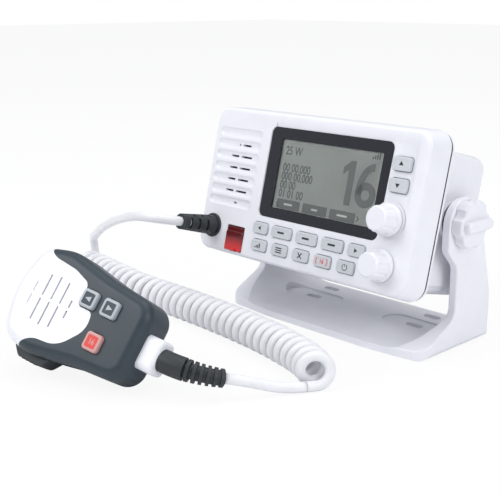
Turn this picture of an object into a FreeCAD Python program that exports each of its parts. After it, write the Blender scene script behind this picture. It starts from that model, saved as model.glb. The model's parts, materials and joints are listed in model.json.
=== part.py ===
import FreeCAD, Part
import math
import os

from FreeCAD import Matrix, Placement, Rotation, Vector

# VHF marine radio on its gimbal bracket, with a fist microphone on a coiled cord.
# Millimetres. +Z up, the front faces -Y, +X is the right-hand side seen from the front.
# Origin: centre of the bracket base's underside.

# Driving dimensions: pose of the radio and the microphone
PIVOT_HEIGHT = 76.0
RADIO_TILT = 13.9
FACE_TO_PIVOT = 51.2
MIC_CENTRE_X = -38.2
MIC_CENTRE_Y = -177.0
MIC_YAW = 20.5
MIC_LEAN = 32.0
MIC_ROLL = 14.0

# Front bezel and its gasket
BEZEL_W = 170.0
BEZEL_H = 95.3
BEZEL_D = 15.4
BEZEL_TAPER = 2.4
BEZEL_CORNER_R = 10.5
BEZEL_EDGE_R = 2.2
BEZEL_WALL = 2.6
GASKET_T = 1.6
GASKET_INSET = 0.3
GASKET_BAND = 4.0
RECESS_LEFT = -31.0
RECESS_RIGHT = 75.5
RECESS_TOP = 40.5
RECESS_FOOT = -20.0
RECESS_DEPTH = 1.4

# Rear housing and what is on it
HOUSING_W = 136.0
HOUSING_TOP = 39.5
HOUSING_FOOT = -45.5
HOUSING_D = 66.0
HOUSING_CORNER_R = 9.0
HOUSING_EDGE_R = 6.0
HOUSING_WALL = 2.8
SIDE_PAD_D = 26.0
SIDE_PAD_H = 78.0
SIDE_PAD_T = 0.8
BOSS_R = 11.0
BOSS_T = 3.0
INSERT_R = 4.6
INSERT_L = 9.0
STUD_R = 3.0
FIN_COUNT = 9
FIN_PITCH = 9.0
FIN_T = 2.4
FIN_H = 9.0
SINK_W = 84.0
SINK_H = 56.0
SINK_BASE_T = 4.0
SOCKET_R = 7.9
SOCKET_BORE_R = 5.2
SOCKET_L = 16.0
SOCKET_X = -52.0
GLAND_R = 6.0
GLAND_BORE_R = 1.9
GLAND_L = 12.0
GLAND_X = 53.0
REAR_FITTING_Z = -20.0

# Display
FRAME_W = 92.2
FRAME_H = 55.1
FRAME_X = 12.3
FRAME_Z = 9.65
FRAME_CORNER_R = 4.0
FRAME_T = 2.0
FRAME_SETBACK = 0.9
WINDOW_W = 77.1
WINDOW_H = 42.2
WINDOW_X = 13.65
WINDOW_Z = 9.5
WINDOW_CORNER_R = 1.2
LCD_T = 2.6

# Loudspeaker louvres
LOUVRE_COUNT = 7
LOUVRE_TOP_Z = 30.0
LOUVRE_PITCH = 7.25
LOUVRE_LEFT = -76.0
LOUVRE_RIGHT = -43.6
LOUVRE_R = 4.0
LOUVRE_DEPTH = 1.35
SLOT_H = 1.2
SLOT_GAP_LEFT = -59.6
SLOT_GAP_RIGHT = -57.4
SPEAKER_X = -57.5
SPEAKER_Z = 8.3
SPEAKER_R = 22.0
SPEAKER_T = 12.0
MESH_T = 0.6

# Keys on the front: name, centre x, centre z, width
KEY_GAP = 0.35
KEY_PROUD = 1.5
KEY_CORNER_R = 1.6
KEY_EDGE_R = 0.5
KEY_TRAVEL = 1.2
KEY_SKIRT = 1.0
KEY_SKIRT_T = 1.0
ROW_KEY_H = 6.9
ROW_1_Z = -25.3
ROW_2_Z = -35.8
SIDE_KEY_H = 7.8
FRONT_KEYS = [
    ("key_left", -28.6, ROW_1_Z, 11.8, ROW_KEY_H),
    ("softkey_1", -11.0, ROW_1_Z, 16.0, ROW_KEY_H),
    ("softkey_2", 9.0, ROW_1_Z, 16.0, ROW_KEY_H),
    ("softkey_3", 29.0, ROW_1_Z, 16.0, ROW_KEY_H),
    ("key_right", 46.6, ROW_1_Z, 11.8, ROW_KEY_H),
    ("key_hi_lo", -27.6, ROW_2_Z, 12.4, ROW_KEY_H),
    ("key_menu", -10.4, ROW_2_Z, 12.4, ROW_KEY_H),
    ("key_clear", 6.8, ROW_2_Z, 12.4, ROW_KEY_H),
    ("key_channel", 24.0, ROW_2_Z, 12.4, ROW_KEY_H),
    ("key_power", 41.2, ROW_2_Z, 12.4, ROW_KEY_H),
    ("key_up", 66.5, 26.0, 12.0, SIDE_KEY_H),
    ("key_down", 66.5, 14.2, 12.0, SIDE_KEY_H),
]
MAT_T = 1.2
BOARD_T = 1.6

# Distress key under its flap
FLAP_W = 14.7
FLAP_H = 15.4
FLAP_X = -50.0
FLAP_Z = -35.5
FLAP_T = 1.6
FLAP_PROUD = 0.9
FLAP_GAP = 0.35
POCKET_D = 7.0
HINGE_R = 1.3
HINGE_PIN_R = 0.6
HINGE_GAP = 0.06
DISTRESS_KEY_R = 4.0
SPRING_WIRE = 0.35

# Volume and squelch knobs
KNOB_X = 64.4
VOLUME_Z = -5.0
SQUELCH_Z = -30.2
KNOB_BASE_R = 9.2
KNOB_TOP_R = 7.2
KNOB_L = 11.5
KNOB_FLUTES = 9
KNOB_FLUTE_R = 2.6
KNOB_GAP = 0.5
COLLAR_R = 10.4
COLLAR_T = 0.5
SHAFT_R = 3.0
SHAFT_GAP = 0.05
BUSH_R = 4.4
POT_R = 7.0
POT_L = 6.0

# Microphone cord
CORD_D = 5.8
CORD_BORE_GAP = 0.12
EXIT_X = -71.3
EXIT_Z = -30.4
RELIEF_L = 28.0
RELIEF_ROOT_R = 6.4
RELIEF_TIP_R = 4.9
RELIEF_ROWS = 6
RELIEF_ROW_PITCH = 3.3
RELIEF_WINDOW = 1.7
RELIEF_BORE = 8.0
RELIEF_FLANGE_R = 7.6
RELIEF_FLANGE_T = 1.2
COIL_OD = 21.0

# Bracket
BRACKET_W = 160.0
BRACKET_D = 76.0
BRACKET_FOOT_D = 68.0
ARM_T = 5.4
BASE_T = 4.2
INNER_R = 21.0
OUTER_R = 5.0
HEAD_R = 15.4
PLAN_CORNER_R = 10.0
BOLT_SPACING = 84.0
BOLT_SLOT_L = 12.0
BOLT_R = 2.7
FRONT_BOLT_Y = 8.5
REAR_BOLT_Y = 27.0
PAD_L = 46.0
PAD_W = 19.0
PAD_DEPTH = 1.0

# Mounting knobs
GRIP_R = 14.2
GRIP_T = 6.5
GRIP_LOBES = 6
GRIP_SCALLOP_R = 5.5
WING_T = 6.2
WING_L = 25.0
WING_H = 4.5
WASHER_T = 3.2
WASHER_R = 10.2
WASHER_GAP = 0.3

# Microphone body
MIC_FRONT_T = 13.0
MIC_REAR_T = 15.0
MIC_EDGE_R = 6.0
MIC_WALL = 2.2
PLATE_FOOT = 9.0
PLATE_GAP = 0.05
GRILLE_SLOT_W = 1.15
GRILLE_PITCH = 6.45
GRILLE_FIRST = -33.0
GRILLE_HALF_LENGTHS = [6.4, 13.2, 14.2, 13.0, 5.2]
GRILLE_BRIDGE = 1.8
MIC_KEY = 10.0
MIC_KEY_PROUD = 2.4
MIC_KEY_CORNER_R = 2.0
MIC_KEY_TRAVEL = 1.0
MIC_KEYS = [("mic_key_up", 3.2, 10.3), ("mic_key_down", 17.6, 10.3), ("mic_key_16", 17.2, -9.0)]
PTT_LEFT = -33.0
PTT_RIGHT = -8.0
PTT_OUT = -34.0
PTT_IN = -21.0
PTT_LOW = -8.0
PTT_HIGH = 5.0
PTT_TRAVEL = 2.0
PTT_GAP = 0.35
PTT_RIBS = 7
TAIL_L = 41.0
MIC_COLLAR_W = 19.0
MIC_COLLAR_T = 15.0
MIC_COLLAR_L = 10.0
MIC_COLLAR_A = -1.5
MIC_RELIEF_ARC = 34.0
MIC_RELIEF_BEND = 43.0
MIC_RELIEF_ROWS = 6
MIC_RELIEF_PLAIN = 13.0
MIC_RELIEF_ROOT_R = 6.2
MIC_RELIEF_CORE_R = 4.1
MIC_RELIEF_TAPER = 0.2
RELIEF_AIM = (0.50, 0.82, -0.20)
STUD_HEAD_R = 6.0
STUD_NECK_R = 4.0
STUD_NECK_L = 4.0
STUD_HEAD_T = 2.4

# Curly cord: centreline headings in degrees from +X and pitch, both against distance
COIL_START = (-197.5, -69.0)
COIL_HEADINGS = [(0, -7.5), (62, -9.0), (84, -2.0), (110, 0.0), (165, -4.0), (200, -8.0), (235, -15.0),
                 (252, -25.0), (270, -44.0)]
COIL_PITCHES = [(0, 9.0), (94, 9.0), (104, 7.0), (200, 7.0), (235, 7.4), (270, 7.8)]
COIL_TURNS = 34.25
WIRE_SIDES = 6

# Middle points of the two free runs of the cord, world millimetres
UPPER_MIDDLE = [
    (-80.0, -100.5, 69.0), (-97.0, -98.5, 67.0), (-118.0, -91.5, 61.5), (-141.0, -85.5, 54.0),
    (-163.0, -79.5, 44.5), (-181.5, -72.0, 34.5),
]
END_RUN = 12.0


def plane_xz(y):
    return lambda u, v: Vector(u, y, v)


def plane_yz(x):
    return lambda u, v: Vector(x, u, v)


def plane_xy(z):
    return lambda u, v: Vector(u, v, z)


def rounded_wire(corners, lift):
    """Closed wire through corners (u, v, radius), each corner rounded by its own radius."""
    count = len(corners)
    ends = []
    for i, (u, v, r) in enumerate(corners):
        here = Vector(u, v, 0)
        before = Vector(*corners[i - 1][:2], 0) - here
        after = Vector(*corners[(i + 1) % count][:2], 0) - here
        before.normalize()
        after.normalize()
        half = math.acos(max(-1.0, min(1.0, before.dot(after)))) / 2
        if r <= 0 or half > math.radians(89.7):
            ends.append((here, None, here))
            continue
        reach = r / math.tan(half)
        middle = before + after
        middle.normalize()
        crest = here + middle * (r / math.sin(half) - r)
        ends.append((here + before * reach, crest, here + after * reach))
    edges = []
    for i, (start, crest, end) in enumerate(ends):
        if crest is not None:
            edges.append(Part.Arc(lift(start.x, start.y), lift(crest.x, crest.y), lift(end.x, end.y)).toShape())
        following = ends[(i + 1) % count][0]
        if (following - end).Length > 1e-6:
            edges.append(Part.LineSegment(lift(end.x, end.y), lift(following.x, following.y)).toShape())
    return Part.Wire(edges)


def rectangle(width, height, radius, u=0.0, v=0.0):
    w, h = width / 2, height / 2
    return [(u - w, v - h, radius), (u + w, v - h, radius), (u + w, v + h, radius), (u - w, v + h, radius)]


def plate(corners, lift, push):
    return Part.Face(rounded_wire(corners, lift)).extrude(push)


def panel(width, height, radius, x, z, front, depth):
    """Rounded slab in the radio's frame: front face at y = front, running back by depth."""
    return plate(rectangle(width, height, radius, x, z), plane_xz(front), Vector(0, depth, 0))


def rod(radius, length, start, direction):
    return Part.makeCylinder(radius, length, Vector(*start), Vector(*direction))


def fused(solids):
    body = solids[0]
    if len(solids) > 1:
        body = body.multiFuse(solids[1:])
    return body.removeSplitter()


def edges_where(shape, test):
    return [e for e in shape.Edges if test(e.BoundBox)]


def radio_point(x, y, z):
    tilt = math.radians(RADIO_TILT)
    back = y - FACE_TO_PIVOT
    return Vector(x, back * math.cos(tilt) + z * math.sin(tilt),
                  PIVOT_HEIGHT - back * math.sin(tilt) + z * math.cos(tilt))


RADIO = Placement(radio_point(0, 0, 0), Rotation(Vector(1, 0, 0), -RADIO_TILT))
MIC_TURN = (Rotation(Vector(0, 0, 1), MIC_YAW)
            .multiply(Rotation(Vector(1, 0, 0), 90 - MIC_LEAN))
            .multiply(Rotation(Vector(0, 0, 1), -MIC_ROLL)))

nodes = {}


def add(name, shape, placement=None):
    if placement is not None:
        shape = shape.copy()
        shape.Placement = placement.multiply(shape.Placement)
    nodes[name] = shape


# Front bezel
def bezel_body():
    front = rounded_wire(rectangle(BEZEL_W - 2 * BEZEL_TAPER, BEZEL_H - 2 * BEZEL_TAPER,
                                   BEZEL_CORNER_R - 1.5), plane_xz(0))
    back = rounded_wire(rectangle(BEZEL_W, BEZEL_H, BEZEL_CORNER_R), plane_xz(BEZEL_D))
    body = Part.makeLoft([front, back], True, True)
    return body.makeFillet(BEZEL_EDGE_R, edges_where(body, lambda b: b.YMax < 0.01))


def louvres():
    """Seven scooped louvres, each a capsule-ended groove across the loudspeaker."""
    cuts = []
    axis_y = LOUVRE_DEPTH - LOUVRE_R
    for row in range(LOUVRE_COUNT):
        z = LOUVRE_TOP_Z - row * LOUVRE_PITCH
        cuts.append(rod(LOUVRE_R, LOUVRE_RIGHT - LOUVRE_LEFT, (LOUVRE_LEFT, axis_y, z), (1, 0, 0)))
        for x in (LOUVRE_LEFT, LOUVRE_RIGHT):
            cuts.append(Part.makeSphere(LOUVRE_R, Vector(x, axis_y, z)))
    return cuts


def louvre_slots():
    """Through slots in the floor of the louvres: left and right part per row."""
    spans = [None, (-60.8, -50.4), (-66.3, -48.2), (-66.3, -48.2), (-66.3, -48.2), (-66.3, -48.2), (-57.4, -54.8)]
    cuts = []
    for row, span in enumerate(spans):
        if span is None:
            continue
        z = LOUVRE_TOP_Z - row * LOUVRE_PITCH
        for left, right in ((span[0], SLOT_GAP_LEFT), (SLOT_GAP_RIGHT, span[1])):
            if right - left > 0.5:
                cuts.append(Part.makeBox(right - left, BEZEL_D, SLOT_H, Vector(left, -1, z - SLOT_H / 2)))
    return cuts


def face_recess():
    """Shallow wedge that sinks the display's surround, deepest along its upper edge."""
    profile = Part.makePolygon([
        Vector(RECESS_LEFT, -1, RECESS_FOOT), Vector(RECESS_LEFT, 0, RECESS_FOOT),
        Vector(RECESS_LEFT, RECESS_DEPTH, RECESS_TOP - 2 * RECESS_DEPTH),
        Vector(RECESS_LEFT, -1, RECESS_TOP + RECESS_DEPTH), Vector(RECESS_LEFT, -1, RECESS_FOOT)])
    return Part.Face(profile).extrude(Vector(RECESS_RIGHT - RECESS_LEFT, 0, 0))


def hinge_z():
    return FLAP_Z + FLAP_H / 2 - HINGE_R


def build_bezel():
    body = bezel_body()
    cavity_w = BEZEL_W - 2 * BEZEL_WALL - 2 * BEZEL_TAPER
    cavity_h = BEZEL_H - 2 * BEZEL_WALL - 2 * BEZEL_TAPER
    cavity = panel(cavity_w, cavity_h, BEZEL_CORNER_R - BEZEL_WALL, 0, 0, BEZEL_WALL + RECESS_DEPTH,
                   BEZEL_D)
    cuts = [cavity, face_recess()] + louvres() + louvre_slots()
    cuts.append(panel(FRAME_W, FRAME_H, FRAME_CORNER_R, FRAME_X, FRAME_Z, -1, 1 + FRAME_SETBACK + FRAME_T))
    cuts.append(panel(WINDOW_W, WINDOW_H, WINDOW_CORNER_R, WINDOW_X, WINDOW_Z, 0, BEZEL_D))
    for name, x, z, w, h in FRONT_KEYS:
        cuts.append(panel(w + 2 * KEY_GAP, h + 2 * KEY_GAP, KEY_CORNER_R + KEY_GAP, x, z, -1, BEZEL_D))
    for z in (VOLUME_Z, SQUELCH_Z):
        cuts.append(rod(BUSH_R, BEZEL_D, (KNOB_X, -1, z), (0, 1, 0)))
    cuts.append(rod(RELIEF_ROOT_R, BEZEL_D, (EXIT_X, -1, EXIT_Z), (0, 1, 0)))
    pocket_floor = POCKET_D + 1.6
    pocket_wall = panel(FLAP_W + 4, FLAP_H + 4, 2, FLAP_X, FLAP_Z, BEZEL_WALL, pocket_floor - BEZEL_WALL)
    cuts_after = [
        panel(FLAP_W + 2 * FLAP_GAP, FLAP_H + 2 * FLAP_GAP, 0.8, FLAP_X, FLAP_Z, -2, 2 + POCKET_D),
        rod(DISTRESS_KEY_R + KEY_GAP, BEZEL_D, (FLAP_X, -1, FLAP_Z), (0, 1, 0)),
        rod(HINGE_PIN_R, FLAP_W + 3.4, (FLAP_X - FLAP_W / 2 - 1.7, HINGE_R + 0.3, hinge_z()), (1, 0, 0)),
    ]
    body = body.cut(cuts)
    rings = []
    for z in (VOLUME_Z, SQUELCH_Z):
        ring = rod(COLLAR_R, COLLAR_T, (KNOB_X, -COLLAR_T, z), (0, 1, 0))
        rings.append(ring.cut(rod(BUSH_R, 2 * COLLAR_T, (KNOB_X, -1.5 * COLLAR_T, z), (0, 1, 0))))
    body = body.multiFuse([pocket_wall] + rings)
    body = body.cut(cuts_after)
    key_clearance = [panel(w + 2 * KEY_GAP, h + 2 * KEY_GAP, KEY_CORNER_R + KEY_GAP, x, z, -1, BEZEL_D)
                     for name, x, z, w, h in FRONT_KEYS if name in ("key_hi_lo", "key_left")]
    body = body.cut(key_clearance)
    add("front_bezel", body, RADIO)


def build_gasket():
    w = BEZEL_W - 2 * GASKET_INSET
    h = BEZEL_H - 2 * GASKET_INSET
    ring = panel(w, h, BEZEL_CORNER_R, 0, 0, BEZEL_D, GASKET_T)
    hole = panel(w - 2 * GASKET_BAND, h - 2 * GASKET_BAND, BEZEL_CORNER_R - GASKET_BAND, 0, 0, BEZEL_D - 1,
                 GASKET_T + 2)
    add("bezel_gasket", ring.cut(hole), RADIO)


# Rear housing
HOUSING_FRONT = BEZEL_D + GASKET_T
HOUSING_BACK = HOUSING_FRONT + HOUSING_D
HOUSING_H = HOUSING_TOP - HOUSING_FOOT
HOUSING_Z = (HOUSING_TOP + HOUSING_FOOT) / 2
FLANGE_T = 3.0


def build_housing():
    body = panel(HOUSING_W, HOUSING_H, HOUSING_CORNER_R, 0, HOUSING_Z, HOUSING_FRONT, HOUSING_D)
    body = body.makeFillet(HOUSING_EDGE_R, edges_where(body, lambda b: b.YMin > HOUSING_BACK - 0.01))
    flange = panel(BEZEL_W - 1.2, BEZEL_H - 1.2, BEZEL_CORNER_R - 0.6, 0, 0, HOUSING_FRONT, FLANGE_T)
    flange = flange.makeFillet(1.2, edges_where(flange, lambda b: b.YMin > HOUSING_FRONT + FLANGE_T - 0.01))
    extras = [flange]
    for side in (-1, 1):
        x = side * HOUSING_W / 2
        pad = plate(rectangle(SIDE_PAD_D, SIDE_PAD_H, 3.0, FACE_TO_PIVOT, 0), plane_yz(x),
                    Vector(side * SIDE_PAD_T, 0, 0))
        extras.append(pad.common(panel(HOUSING_W + 9, HOUSING_H - 8, 3, 0, HOUSING_Z, 0, HOUSING_BACK)))
        extras.append(rod(BOSS_R, BOSS_T, (x, FACE_TO_PIVOT, 0), (side, 0, 0)))
    body = body.multiFuse(extras)
    inner = panel(HOUSING_W - 2 * HOUSING_WALL, HOUSING_H - 2 * HOUSING_WALL, HOUSING_CORNER_R - HOUSING_WALL,
                  0, HOUSING_Z, HOUSING_FRONT - 1, 1 + HOUSING_D - HOUSING_WALL)
    # pillars behind the side bosses hold the threaded inserts
    pillar_l = INSERT_L - BOSS_T + 1.0
    cuts = [inner]
    body = body.cut(cuts)
    pillars = []
    for side in (-1, 1):
        pillars.append(rod(INSERT_R + 2.4, pillar_l, (side * HOUSING_W / 2, FACE_TO_PIVOT, 0), (-side, 0, 0)))
    body = body.multiFuse(pillars)
    bores = []
    for side in (-1, 1):
        start = (side * (HOUSING_W / 2 + BOSS_T + 1), FACE_TO_PIVOT, 0)
        bores.append(rod(INSERT_R, INSERT_L + 1, start, (-side, 0, 0)))
    bores.append(rod(SOCKET_R - 2.0, 8, (SOCKET_X, HOUSING_BACK - 5, REAR_FITTING_Z), (0, 1, 0)))
    bores.append(rod(GLAND_R - 1.5, 8, (GLAND_X, HOUSING_BACK - 5, REAR_FITTING_Z), (0, 1, 0)))
    add("rear_housing", body.cut(bores), RADIO)
    inserts = []
    for side in (-1, 1):
        start = (side * (HOUSING_W / 2 + BOSS_T), FACE_TO_PIVOT, 0)
        sleeve = rod(INSERT_R, INSERT_L, start, (-side, 0, 0))
        inserts.append(sleeve.cut(rod(STUD_R + 0.08, INSERT_L + 2, (start[0] + side, start[1], 0), (-side, 0, 0))))
    add("pivot_inserts", Part.makeCompound(inserts), RADIO)


def build_heat_sink():
    """Die-cast cooling block on the back: a base plate with upright fins."""
    back = HOUSING_BACK
    base = panel(SINK_W, SINK_H, 3.0, 0, HOUSING_Z, back, SINK_BASE_T)
    fins = []
    for i in range(FIN_COUNT):
        x = (i - (FIN_COUNT - 1) / 2) * FIN_PITCH
        profile = [(x - FIN_T / 2, back + SINK_BASE_T - 0.5, 0), (x + FIN_T / 2, back + SINK_BASE_T - 0.5, 0),
                   (x + FIN_T / 3, back + SINK_BASE_T + FIN_H, 0.5), (x - FIN_T / 3, back + SINK_BASE_T + FIN_H, 0.5)]
        fins.append(plate(profile, plane_xy(HOUSING_Z - SINK_H / 2 + 2), Vector(0, 0, SINK_H - 4)))
    add("heat_sink", fused([base] + fins), RADIO)


def build_rear_fittings():
    back = HOUSING_BACK
    flange = rod(SOCKET_R + 1.6, 2.0, (SOCKET_X, back, REAR_FITTING_Z), (0, 1, 0))
    barrel = rod(SOCKET_R - 2.1, SOCKET_L + 4, (SOCKET_X, back - 4, REAR_FITTING_Z), (0, 1, 0))
    thread = rod(SOCKET_R, SOCKET_L - 3, (SOCKET_X, back + 3, REAR_FITTING_Z), (0, 1, 0))
    bore = rod(SOCKET_BORE_R, SOCKET_L - 2, (SOCKET_X, back + 2, REAR_FITTING_Z), (0, 1, 0))
    tip = rod(2.0, SOCKET_L - 6, (SOCKET_X, back + 2, REAR_FITTING_Z), (0, 1, 0))
    add("antenna_socket", fused([flange, barrel, thread]).cut(bore).fuse(tip).removeSplitter(), RADIO)
    nut = rod(GLAND_R + 1.8, 3.5, (GLAND_X, back, REAR_FITTING_Z), (0, 1, 0))
    neck = rod(GLAND_R - 1.6, 5, (GLAND_X, back - 4.5, REAR_FITTING_Z), (0, 1, 0))
    snout = Part.makeCone(GLAND_R, GLAND_R - 1.6, GLAND_L - 3.5, Vector(GLAND_X, back + 3.5, REAR_FITTING_Z),
                          Vector(0, 1, 0))
    hole = rod(GLAND_BORE_R, GLAND_L - 2, (GLAND_X, back + 2.5, REAR_FITTING_Z), (0, 1, 0))
    add("power_gland", fused([nut, neck, snout]).cut(hole), RADIO)


def build_case_screws():
    """Four screws that clamp the housing flange to the bezel from behind."""
    screws = []
    head_y = HOUSING_FRONT + FLANGE_T
    for x in (-BEZEL_W / 2 + 8.2, BEZEL_W / 2 - 8.2):
        for z in (-30.0, 30.0):
            head = rod(2.6, 1.8, (x, head_y, z), (0, 1, 0))
            socket = Part.makeBox(3.4, 1.0, 0.7, Vector(x - 1.7, head_y + 1.0, z - 0.35))
            screws.append(head.cut(socket))
    add("case_screws", Part.makeCompound(screws), RADIO)


# Display stack
def build_display():
    y = FRAME_SETBACK
    frame = panel(FRAME_W - 0.2, FRAME_H - 0.2, FRAME_CORNER_R, FRAME_X, FRAME_Z, y, FRAME_T)
    hole = panel(WINDOW_W, WINDOW_H, WINDOW_CORNER_R, WINDOW_X, WINDOW_Z, y - 1, FRAME_T + 2)
    add("display_frame", frame.cut(hole), RADIO)
    add("display_glass", panel(WINDOW_W, WINDOW_H, WINDOW_CORNER_R, WINDOW_X, WINDOW_Z, y + 0.1, 1.2), RADIO)
    add("lcd_panel", panel(WINDOW_W - 0.4, WINDOW_H - 0.4, 1.0, WINDOW_X, WINDOW_Z, y + 1.3, LCD_T), RADIO)


# Boards and the rubber key mat
MAT_FRONT = BEZEL_WALL + RECESS_DEPTH + 0.1 + KEY_SKIRT_T + 0.4 + KEY_TRAVEL + 0.1
BOARD_FRONT = MAT_FRONT + MAT_T


def build_boards():
    pocket_cut = panel(FLAP_W + 5, FLAP_H + 5, 1, FLAP_X, FLAP_Z, 0, BEZEL_D - 3)
    mat = panel(100, 19.5, 2, 9.0, (ROW_1_Z + ROW_2_Z) / 2, MAT_FRONT, MAT_T)
    side_mat = panel(16, 23.5, 2, 66.5, 20.1, MAT_FRONT, MAT_T)
    strap = panel(14, 14, 1, 52.0, -18.0, MAT_FRONT, MAT_T)
    link = panel(10, 34, 1, 55.5, 0.0, MAT_FRONT, MAT_T)
    arm = panel(12, 8, 1, 60.0, 13.5, MAT_FRONT, MAT_T)
    volume_hole = rod(BUSH_R + 1.5, 9, (KNOB_X, MAT_FRONT - 2, VOLUME_Z), (0, 1, 0))
    mat = fused([mat, side_mat, strap, link, arm]).cut([pocket_cut, volume_hole])
    add("keypad_mat", mat, RADIO)
    board = panel(158, 84, 4, 0, 0, BOARD_FRONT, BOARD_T)
    holes = [rod(SPEAKER_R + 0.5, 9, (SPEAKER_X, BOARD_FRONT - 2, SPEAKER_Z), (0, 1, 0)),
             panel(WINDOW_W + 2, WINDOW_H + 2, 1, WINDOW_X, WINDOW_Z, BOARD_FRONT - 2, 9),
             rod(RELIEF_ROOT_R + 2, 9, (EXIT_X, BOARD_FRONT - 2, EXIT_Z), (0, 1, 0)),
             pocket_cut]
    for z in (VOLUME_Z, SQUELCH_Z):
        holes.append(rod(BUSH_R + 0.3, 9, (KNOB_X, BOARD_FRONT - 2, z), (0, 1, 0)))
    add("front_board", board.cut(holes), RADIO)
    main = panel(118, 64, 2, 0, HOUSING_Z, HOUSING_BACK - HOUSING_WALL - 9, BOARD_T)
    posts = [rod(2.5, 9 - BOARD_T, (x, HOUSING_BACK - HOUSING_WALL - 9 + BOARD_T, HOUSING_Z + z), (0, 1, 0))
             for x in (-54, 54) for z in (-28, 28)]
    add("main_board", fused([main] + posts), RADIO)


def build_speaker():
    """Cone loudspeaker: basket, magnet and a dished cone, clamped behind the louvres."""
    front = BEZEL_WALL + RECESS_DEPTH
    profile = [(0, 5.0), (3.0, 5.0), (SPEAKER_R - 4, 1.2), (SPEAKER_R - 2, 1.2), (SPEAKER_R - 2, 0), (SPEAKER_R, 0),
               (SPEAKER_R, 2.2), (SPEAKER_R - 6, 6.5), (11.0, 7.5), (11.0, SPEAKER_T), (0, SPEAKER_T), (0, 5.0)]
    points = [Vector(SPEAKER_X + r, front + MESH_T + d, SPEAKER_Z) for r, d in profile]
    turned = Part.Face(Part.makePolygon(points)).revolve(Vector(SPEAKER_X, 0, SPEAKER_Z), Vector(0, 1, 0), 360)
    add("speaker", turned, RADIO)
    add("speaker_mesh", rod(SPEAKER_R, MESH_T, (SPEAKER_X, front, SPEAKER_Z), (0, 1, 0)), RADIO)


# Keys
def build_front_keys():
    for name, x, z, w, h in FRONT_KEYS:
        depth = KEY_PROUD + BEZEL_WALL + RECESS_DEPTH + 0.1
        cap = panel(w, h, KEY_CORNER_R, x, z, -KEY_PROUD, depth)
        cap = cap.makeFillet(KEY_EDGE_R, edges_where(cap, lambda b: b.YMax < -KEY_PROUD + 0.01))
        skirt = panel(w + 2 * KEY_SKIRT, h + 2 * KEY_SKIRT, KEY_CORNER_R + KEY_SKIRT, x, z, depth - KEY_PROUD,
                      KEY_SKIRT_T)
        stem = rod(2.0, 0.9, (x, depth - KEY_PROUD + KEY_SKIRT_T - 0.5, z), (0, 1, 0))
        add(name, fused([cap, skirt, stem]).cut(
            panel(w - 3, h - 3, 0.6, x, z, -KEY_PROUD - 1, 1.12)), RADIO)


# Distress flap, its hinge and the key beneath it
def build_distress():
    y_hinge = HINGE_R + 0.3
    lid = panel(FLAP_W, FLAP_H - 2 * HINGE_R - 0.6, 1.0, FLAP_X, FLAP_Z - HINGE_R - 0.3, -FLAP_PROUD, FLAP_T)
    lid = lid.makeFillet(0.5, edges_where(lid, lambda b: b.YMax < -FLAP_PROUD + 0.01))
    knuckle_w = FLAP_W - 0.2
    knuckle = rod(HINGE_R, knuckle_w, (FLAP_X - knuckle_w / 2, y_hinge, hinge_z()), (1, 0, 0))
    web = Part.makeBox(knuckle_w, 1.4, 2.6, Vector(FLAP_X - knuckle_w / 2, 0.1, hinge_z() - 2.2))
    lip = Part.makeBox(6.0, 1.3, 1.4, Vector(FLAP_X - 3.0, -FLAP_PROUD - 0.8, FLAP_Z - FLAP_H / 2 + 0.05))
    pin_hole = rod(HINGE_PIN_R + HINGE_GAP, knuckle_w + 2, (FLAP_X - knuckle_w / 2 - 1, y_hinge, hinge_z()), (1, 0, 0))
    slot = rod(HINGE_PIN_R + SPRING_WIRE + 0.25, 4.0, (FLAP_X - 2.0, y_hinge, hinge_z()), (1, 0, 0))
    add("distress_cover", fused([lid, knuckle, web, lip]).cut([pin_hole, slot]), RADIO)
    add("distress_pin", rod(HINGE_PIN_R, FLAP_W + 3.2, (FLAP_X - FLAP_W / 2 - 1.6, y_hinge, hinge_z()), (1, 0, 0)),
        RADIO)
    spring = rod(HINGE_PIN_R + SPRING_WIRE, 3.2, (FLAP_X - 1.6, y_hinge, hinge_z()), (1, 0, 0))
    spring = spring.cut(rod(HINGE_PIN_R, 4.2, (FLAP_X - 2.1, y_hinge, hinge_z()), (1, 0, 0)))
    add("distress_spring", spring, RADIO)
    cap = rod(DISTRESS_KEY_R, 6.4, (FLAP_X, 2.6, FLAP_Z), (0, 1, 0))
    cap = cap.makeFillet(0.6, edges_where(cap, lambda b: b.YMax < 2.61))
    foot = rod(DISTRESS_KEY_R + 1.2, 1.0, (FLAP_X, POCKET_D + 1.7, FLAP_Z), (0, 1, 0))
    add("distress_button", fused([cap, foot]), RADIO)


# Volume and squelch controls
def fluted_knob(z):
    """Tapered round knob with flutes; the cap's rim is broken by a fillet."""
    top_y = -COLLAR_T - KNOB_GAP - KNOB_L
    rim = [(0, top_y), (KNOB_TOP_R - 1.2, top_y), (KNOB_TOP_R, top_y + 1.2), (KNOB_BASE_R - 1.0, -3.4),
           (KNOB_BASE_R, -2.6), (KNOB_BASE_R, -COLLAR_T - KNOB_GAP), (0, -COLLAR_T - KNOB_GAP), (0, top_y)]
    face = Part.Face(Part.makePolygon([Vector(KNOB_X + r, y, z) for r, y in rim]))
    body = face.revolve(Vector(KNOB_X, 0, z), Vector(0, 1, 0), 360)
    flutes = []
    for i in range(KNOB_FLUTES):
        angle = 2 * math.pi * (i + 0.25) / KNOB_FLUTES
        far = KNOB_TOP_R + KNOB_FLUTE_R * 0.72
        start = Vector(KNOB_X + far * math.cos(angle), top_y - 1, z + far * math.sin(angle))
        lean = Vector(math.cos(angle) * 1.6, KNOB_L, math.sin(angle) * 1.6)
        flutes.append(Part.makeCylinder(KNOB_FLUTE_R, KNOB_L - 1.6, start, lean))
    bore = rod(SHAFT_R, 8.0, (KNOB_X, -COLLAR_T - KNOB_GAP - 8.0, z), (0, 1, 0))
    return body.cut(flutes + [bore])


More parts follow.
